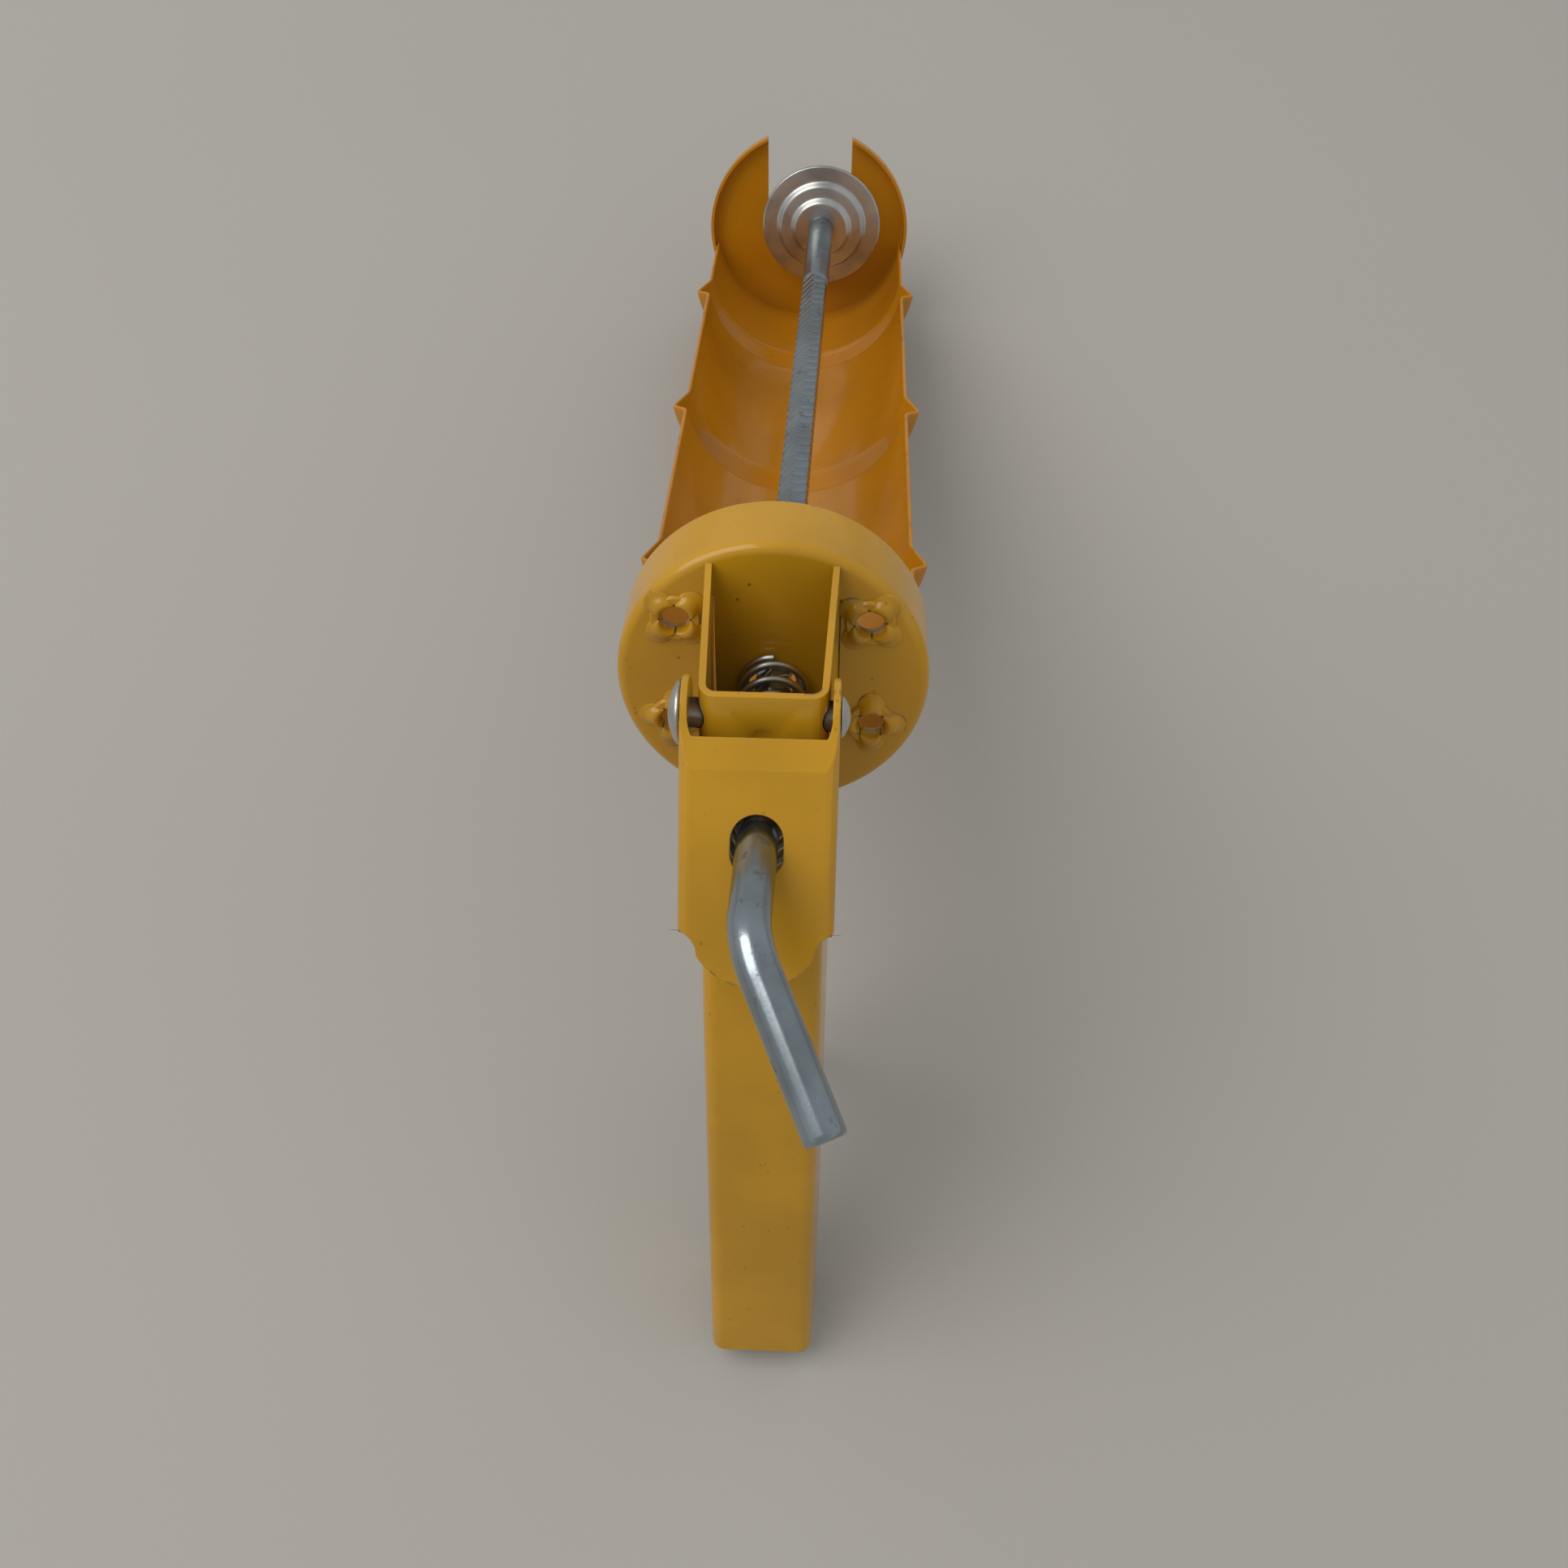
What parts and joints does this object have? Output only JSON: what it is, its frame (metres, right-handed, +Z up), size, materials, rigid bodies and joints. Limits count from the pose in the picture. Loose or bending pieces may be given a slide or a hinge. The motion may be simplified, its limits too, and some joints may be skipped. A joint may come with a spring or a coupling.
{
  "type": "caulking gun",
  "caption": "Half-barrel caulking gun: sheet-steel cradle with end caps, ratchetless plunger rod with piston, folded handle, trigger and thumb lock lever.",
  "frame": {"origin": "on the ground, below the middle of the gun's bounding box, with the gun standing nose down on the handle's end and the nose cap's edge", "axes": "+X towards the nose, level, along the gun's longest extent; the barrel itself slopes down towards the nose by 22.86 degrees about Y; +Y to the gun's left; +Z up"},
  "size_m": [0.3174, 0.0594, 0.1452],
  "materials": {
    "yellow_paint": "gloss",
    "orange_paint": "gloss",
    "zinc_steel": "satin",
    "bright_steel": "satin"
  },
  "bodies": {
    "frame": {"cradle": "orange_paint", "nose_cap": "orange_paint", "rear_cap": "yellow_paint", "handle_frame": "yellow_paint", "trigger_rivet": "bright_steel", "lever_rivet": "bright_steel", "return_spring": "bright_steel", "lock_spring": "bright_steel"},
    "piston": {"piston_disc": "bright_steel", "piston_washer": "bright_steel"},
    "rod": {"plunger_rod": "zinc_steel"},
    "trigger": {"trigger": "yellow_paint"},
    "drive": {"drive_plate_front": "zinc_steel", "drive_plate_rear": "zinc_steel"},
    "lever": {"lock_lever": "yellow_paint"}
  },
  "joints": [
    {"name": "rod_slide", "type": "slide", "parent": "frame", "child": "piston", "axis": [0.928, -0.0157, -0.3723], "range_m": [-0.19, 0.008]},
    {"name": "rod_spin", "type": "hinge", "parent": "piston", "child": "rod", "pos_m": [-0.07586, 0, 0.1203], "axis": [0.928, -0.0157, -0.3723], "continuous": true},
    {"name": "trigger_pivot", "type": "hinge", "parent": "frame", "child": "trigger", "pos_m": [-0.09251, 0, 0.10344], "axis": [0, 1, 0], "range_deg": [0, 24], "stiffness_Nm_per_rad": 0.8, "springref_deg": -34.38},
    {"name": "drive_slide", "type": "slide", "parent": "frame", "child": "drive", "axis": [0.928, -0.0157, -0.3723], "range_m": [0, 0.0095], "deforming": ["return_spring"]},
    {"name": "lever_pivot", "type": "hinge", "parent": "frame", "child": "lever", "pos_m": [-0.08277, 0, 0.13916], "axis": [0, 1, 0], "range_deg": [-5, 0], "stiffness_Nm_per_rad": 0.1, "springref_deg": 17.19, "deforming": ["lock_spring"]}
  ],
  "couplings": [
    {"joint": "drive_slide", "follows": "trigger_pivot", "m_per_rad": 0.0221}
  ]
}
